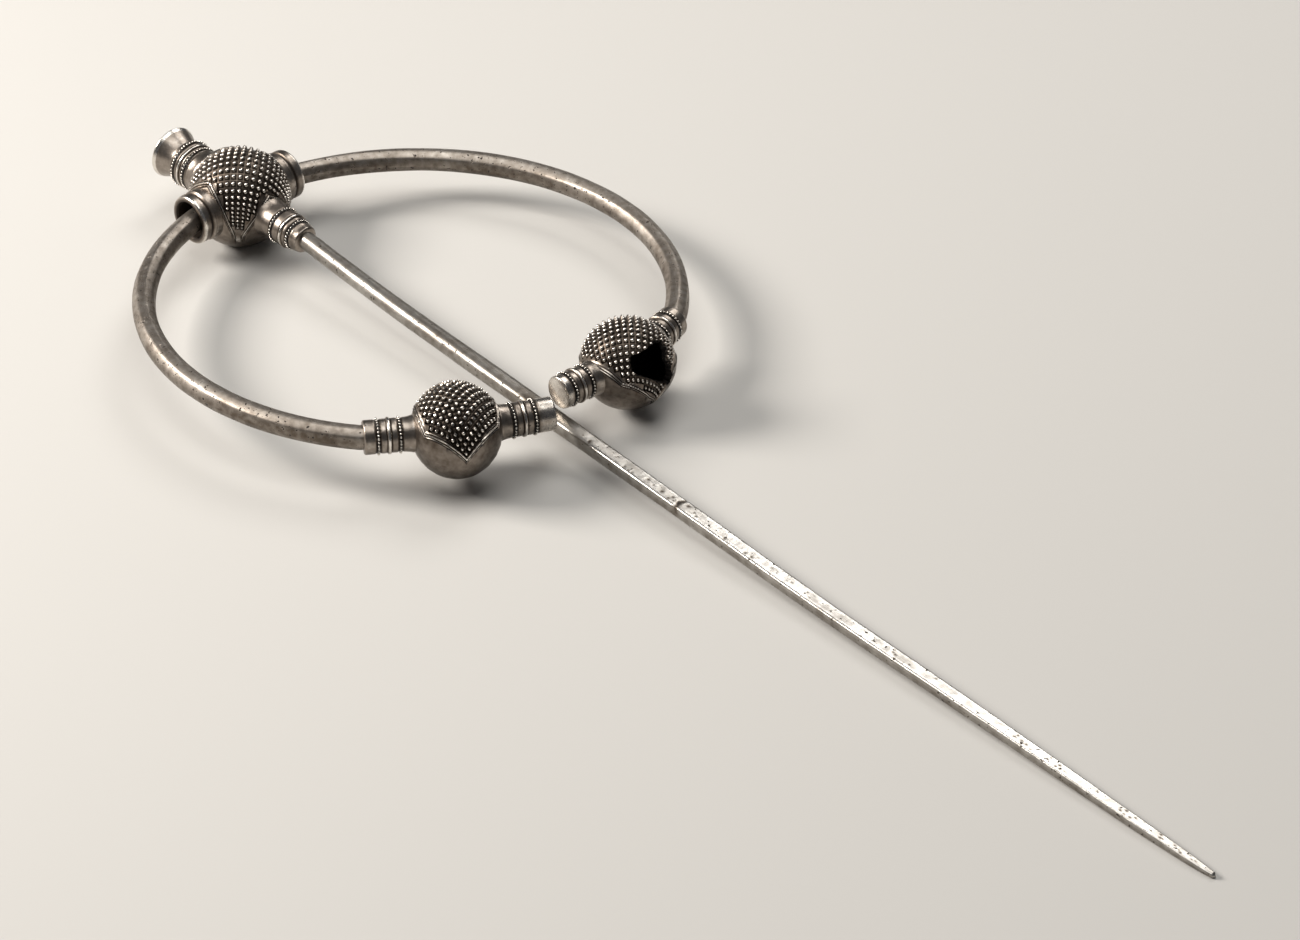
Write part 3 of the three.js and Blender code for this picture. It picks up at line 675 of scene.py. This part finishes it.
def terminal_sheets(end, studs, seed, root):
    """The ball, neck and finial of a terminal, with their beads, round the middle of the ball. The collars
    start at root, inside the ball's wall. The finial's end is worn brighter."""
    _, way, neck_length = place_of(end)
    neck_angle = np.degrees(np.arctan2(way[1], way[0]))
    finial = np.array([np.cos(np.radians(end["finial_way"])), np.sin(np.radians(end["finial_way"]))])
    ball_angle = np.degrees(np.arctan2(finial[1] - way[1], finial[0] - way[0]))

    def in_field(x, y):
        inside = beyond_end_sides((x + y) / np.sqrt(2), (y - x) / np.sqrt(2), studs) < -2.0
        return inside & (np.abs(x) < studs["ends"] - 3.0)

    def edge_distance(p, q, x, y):
        return np.maximum(beyond_end_sides(p, q, studs), np.abs(x) - studs["ends"])

    ball, wear_and_shade = studded_ball(end["radius"], studs, in_field, edge_distance, end["squash"], seed)
    sheets = turned_by([(ball, wear_and_shade, (False, False))], ball_angle)
    arms = ((neck_angle, neck_length, 10, 0.0), (end["finial_way"], end["finial_length"], 20, 0.14))
    for angle, length, seed_shift, polish in arms:
        far, size, rub_and_shade = collar_profile(root, length, NECK_RADIUS, END_RINGS, END_RIDGES)
        size = size + 0.35 * fade(far, 13.0, 10.8) ** 2
        round_off(size, [0.0, 0.04, 0.14, 0.34])
        rub_and_shade = rub_and_shade + polish * fade(far, 20.2, 20.8)
        arm = [turned_arm(far, size, rub_and_shade)]
        for k, (at, _) in enumerate(END_RINGS):
            ring_seed = seed + seed_shift + k
            arm.extend(beaded_ring(at, NECK_RADIUS + BEAD_LIFT, BEAD_RADIUS, BEADS_ROUND, ring_seed))
        sheets.extend(turned_by(arm, angle))
    return sheets


def in_ring_frame(sheets, place):
    """Sheets moved to a place in the hoop's plane, then leaned with the hoop."""
    return [((points + place) @ HOOP_TURN.T + HOOP_PLACE, wear_and_shade, joined) for points, wear_and_shade, joined in sheets]


# Chased silver: nearly black in the hollows between studs, from tarnish and painted shade, and bright on
# their worn tips.
chased_silver = silver(
    "tarnished_chased_silver", "#140f0c", "#544a41", "#968d84", "#efeae2",
    {"patch_mm": 11, "patches": 0.30, "cloud_mm": 1.6, "clouds": 0.38, "pit_mm": 0.8, "pit_from": 0.70,
     "pits": 0.4, "dull": 0.5, "shine": 0.20, "stretch": (1, 1, 1), "dent_mm": 4.0, "dent_deep": 0.08,
     "grain_deep": 0.025},
)

left_place, right_place = place_of(LEFT_END)[0], place_of(RIGHT_END)[0]
left_sheets = terminal_sheets(LEFT_END, LEFT_STUDS, seed=21, root=8.9)
left = skin("terminal_left_skin", in_ring_frame(left_sheets, left_place))
finished(left, "hoop", "terminal_left", chased_silver)

# The right terminal's ball has lost a piece of its wall. The hole shows the hollow, painted dark for tarnish
# and shade, and the thin torn edge. Its outline is given in degrees round from +X and above the hoop's
# plane.
WALL = 1.0
WALL_TOP = 0.75  # of the wall's outside under the studs' tips
HOLE_OUTLINE = np.array([
    [-35.4, 40.8], [-20.4, 43.0], [1.9, 47.1], [19.6, 49.5], [35.9, 43.1], [31.7, 31.4], [23.3, 21.9],
    [25.5, 11.2], [25.7, -14.4], [18.2, -11.6], [1.4, -1.1], [-12.8, 8.2], [-29.0, 16.5], [-35.1, 21.8],
    [-36.0, 31.4],
])
TORN_POINTS, TORN_BY = 110, 0.8  # round the outline, and the degrees by which they stray
PLUG_FROM, PLUG_TO, PLUG_TIP = 6.0, 16.0, 17.0  # from the ball's middle
BULGE = {"round": 52, "above": -10, "share": 0.05}  # of the wall beside the hole, up to 0.6 mm
corners = np.concatenate([HOLE_OUTLINE, HOLE_OUTLINE[:1]])
edge_at = np.concatenate([[0], np.cumsum(np.linalg.norm(np.diff(corners, axis=0), axis=1))])
torn_at = np.linspace(0, edge_at[-1], TORN_POINTS, endpoint=False)
torn = np.stack([np.interp(torn_at, edge_at, corners[:, k]) for k in (0, 1)], -1)
torn += np.random.default_rng(7).normal(0, TORN_BY, torn.shape)
round_by, above = np.radians(torn).T
rays = np.stack([np.cos(above) * np.cos(round_by), np.cos(above) * np.sin(round_by), np.sin(above)], -1)
middle_ray = rays.mean(axis=0) / np.linalg.norm(rays.mean(axis=0))
plug = np.stack([0 * rays, rays * PLUG_FROM, rays * PLUG_TO, 0 * rays + middle_ray * PLUG_TIP])
hollow = unit_ball(40, 72) * (RIGHT_END["radius"] - WALL_TOP - WALL)
right_sheets = terminal_sheets(RIGHT_END, RIGHT_STUDS, seed=42, root=10.35)
ball = right_sheets[0][0]
toward = np.degrees(np.arctan2(ball[..., 1], ball[..., 0])) - BULGE["round"]
upward = np.degrees(np.arcsin(ball[..., 2] / np.linalg.norm(ball, axis=-1))) - BULGE["above"]
ball *= 1 + BULGE["share"] * (swell(toward, 0, 24) * swell(upward, 0, 30))[..., None]
right_sheets = in_ring_frame(right_sheets, right_place)
right = skin("terminal_right_skin", right_sheets[:1])
# The hollow's wall takes a low value, dark for tarnish and painted shade, and the torn edge a high one.
cut_away(right, [
    skin("hollow", in_ring_frame([(hollow, 0.18, (False, True))], right_place)),
    skin("hole", in_ring_frame([(plug, 0.80, (False, True))], right_place)),
])
soldered(right, skin("arms", right_sheets[1:]))
finished(right, "hoop", "terminal_right", chased_silver)


# Pin head: a larger ball of the same work, bored for the hoop. A socket on each side takes the rod, a
# flared finial points back, and a collar in front holds the shaft in solder.
HEAD_RADIUS = 13.5
HEAD_STUDS = {"half": 131.6, "rows": (32, 28), "samples": 7, "crowding": 0.508, "border": 18.0}
LOBE_REACH = 98.0  # degrees from the top to the last stud between two arms
BORDER_REACH = 112  # degrees from the top to the border's end there
ACROSS_TO, FRONT_TO, BACK_TO = 48.5, 61.6, 40.0  # degrees from the top to each limit, on its own arm
SLANT = 1.07  # of the limits, which makes them this much nearer straight across than along X or Y
BORE_CLEARANCE = 0.6
BORE_RADIUS = ROD_RADIUS + ROD_SETBACK + BORE_CLEARANCE
HEAD_BEAD_RADIUS = 0.29
ARMS_FROM = 10.0  # inside the ball


def beyond_head_sides(x, y):
    """Degrees beyond the sides of the head's field. It ends short of each arm, and four lobes run down
    between the arms: each limit lies farther out with the way beside its arm."""
    beside = np.abs(y)
    across = beside - ACROSS_TO - 0.38 * np.abs(x)
    front = x - FRONT_TO - 0.45 * np.minimum(beside, 30) - 0.27 * np.maximum(beside - 30, 0)
    back = -x - BACK_TO - 0.12 * beside - 0.78 * np.maximum(beside - 36, 0)
    return np.maximum(across, np.maximum(front, back)) / SLANT


def in_head_field(x, y):
    """Where the head has studs: well inside the sides, and no farther down than a lobe."""
    return (beyond_head_sides(x, y) < -5.0) & (np.hypot(x, y) < LOBE_REACH)


def beyond_head_edge(p, q, x, y):
    """Degrees beyond the edge on which the head's border lines run."""
    return np.maximum(beyond_head_sides(x, y) + 2.5, np.hypot(x, y) - BORDER_REACH)


ball, wear_and_shade = studded_ball(HEAD_RADIUS, HEAD_STUDS, in_head_field, beyond_head_edge, squash=1.0, seed=63)
head_sheets = [(ball, wear_and_shade, (False, False))]

# Sockets: a plain tube on each side, with a band, a groove and a lip at the mouth of the bore.
SOCKET_BASE = 6.68
GROOVE_AT = 14.35
far, size, rub_and_shade = collar_profile(ARMS_FROM, SOCKET_LENGTH, SOCKET_BASE, [], [], 0.12)
size = size + 0.2 * fade(far, 13.9, 13.5) - 0.10 * swell(far, 13.2, 0.12)
size = size - 0.45 * swell(far, GROOVE_AT, 0.38) - 0.45 * fade(far, 16.2, SOCKET_LENGTH) ** 3
# The groove is painted darker, for tarnish and shade, and the lip is worn brighter.
rub_and_shade = rub_and_shade - 0.5 * swell(far, GROOVE_AT, 0.32) + 0.3 * swell(far, 16.6, 0.35)
bore_far = np.arange(SOCKET_LENGTH, ARMS_FROM - 0.1, -0.4)
bore_size = BORE_RADIUS + 0.35 * fade(bore_far, 16.35, SOCKET_LENGTH) ** 2
# The inside of the bore is dark, for tarnish and painted shade.
bore_wear_and_shade = np.full(len(bore_far), 0.15)
outside, inside = (far, size, rub_and_shade), (bore_far, bore_size, bore_wear_and_shade)
socket = turned(*(np.concatenate(pair) for pair in zip(outside, inside)), closed=True)
for angle in (90.0, -90.0):
    head_sheets.extend(turned_by([socket], angle))

# Finial: a short arm with two beaded rings and a ridge, a narrow waist, and a flare to a flat end.
FINIAL_LENGTH = 27.6
FINIAL_RINGS = ((16.5, 1.3), (20.2, 1.3))
FINIAL_BEADS = ((16.5, 6.13, 42), (20.2, 6.44, 44))  # place, radius of the ring and number
FINIAL_RIDGE = (18.35, 0.9, 0.35)
WAIST_AT, WAIST_RADIUS = 22.3, 5.2
far, size, rub_and_shade = collar_profile(ARMS_FROM, FINIAL_LENGTH, 6.05, FINIAL_RINGS, [FINIAL_RIDGE])
size = size + 0.4 * fade(far, 14.9, 12.5) ** 2
size = size + 0.3 * swell(far, 20.3, 1.0, 4) - 0.3 * swell(far, 15.4, 0.2)
flare = WAIST_RADIUS + np.maximum(far - WAIST_AT, 0) ** 1.35 * 0.221
size = np.where(far > WAIST_AT, flare, size - 0.85 * swell(far, WAIST_AT, 0.8))
round_off(size, [0.0, 0.02, 0.08, 0.2, 0.42])
rub_and_shade[-9:] += 0.25
finial = [turned_arm(far, size, rub_and_shade)]
for k, (at, middle, count) in enumerate(FINIAL_BEADS):
    finial.extend(beaded_ring(at, middle, HEAD_BEAD_RADIUS, count, 70 + k))
head_sheets.extend(turned_by(finial, 180.0))

# Collar: a tapering arm with two beaded rings and a ridge, ending in lumpy solder round the shaft.
COLLAR_LENGTH, COLLAR_RADIUS = 26.6, 4.9
COLLAR_RINGS = ((17.6, 1.3), (23.3, 1.2))
COLLAR_BEADS = ((17.6, 4.88, 34), (23.3, 4.15, 29))  # place, radius of the ring and number
COLLAR_RIDGE = (21.1, 0.9, 0.25)
COLLAR_TAPER = np.array([[9.9, 4.9], [17.6, 4.8], [21.1, 4.6], [23.3, 4.1], [24.6, 3.78], [26.7, 3.6]])
far, size, rub_and_shade = collar_profile(ARMS_FROM, COLLAR_LENGTH, COLLAR_RADIUS, COLLAR_RINGS, [COLLAR_RIDGE])
taper = smooth_through(far, COLLAR_TAPER[:, 0], COLLAR_TAPER[:, 1])
size = size - COLLAR_RADIUS + taper + 0.5 * fade(far, 14.6, 12.2) ** 2
round_off(size, [0.0, 0.05, 0.15, 0.35, 0.7])
lumps = fade(far, 24.0, 24.8) * fade(far, 26.6, 25.4)
collar = turned_arm(far, size, rub_and_shade)
points = collar[0]
lumps = np.concatenate([lumps[:1], lumps, lumps[-1:]])[:, None]
solder = 1 + 0.06 * lumps * ripple(points[..., 1] * 1.3, points[..., 2] * 1.3, 9, 1.2)
points[..., 1:] *= solder[..., None]
head_sheets.append(collar)
for k, (at, middle, count) in enumerate(COLLAR_BEADS):
    head_sheets.extend(beaded_ring(at, middle, HEAD_BEAD_RADIUS, count, 80 + k))

# The ball is drilled a little wider than the bore, since the sockets' tubes line it. The whole head is
# turned to its place, and what would reach into the table is worn flat.
DRILL_HALF, DRILL_RADIUS = 15.0, BORE_RADIUS + 0.6
# The drilled wall takes a low value, dark for tarnish and painted shade inside the ball.
drill = turned_arm(np.array([-DRILL_HALF, DRILL_HALF]), np.full(2, DRILL_RADIUS), np.full(2, 0.1))
drill, head_sheets = (
    [(points @ HEAD_TURN.T + HEAD_PLACE, wear_and_shade, joined) for points, wear_and_shade, joined in sheets]
    for sheets in (turned_by([drill], 90.0), head_sheets)
)
for points, _, _ in head_sheets:
    np.maximum(points[..., 2], 0.0, out=points[..., 2])
head = skin("pin_head_skin", head_sheets[:1])
cut_away(head, [skin("bore", drill)])
soldered(head, skin("arms", head_sheets[1:]))
finished(head, "pin", "pin_head", chased_silver)
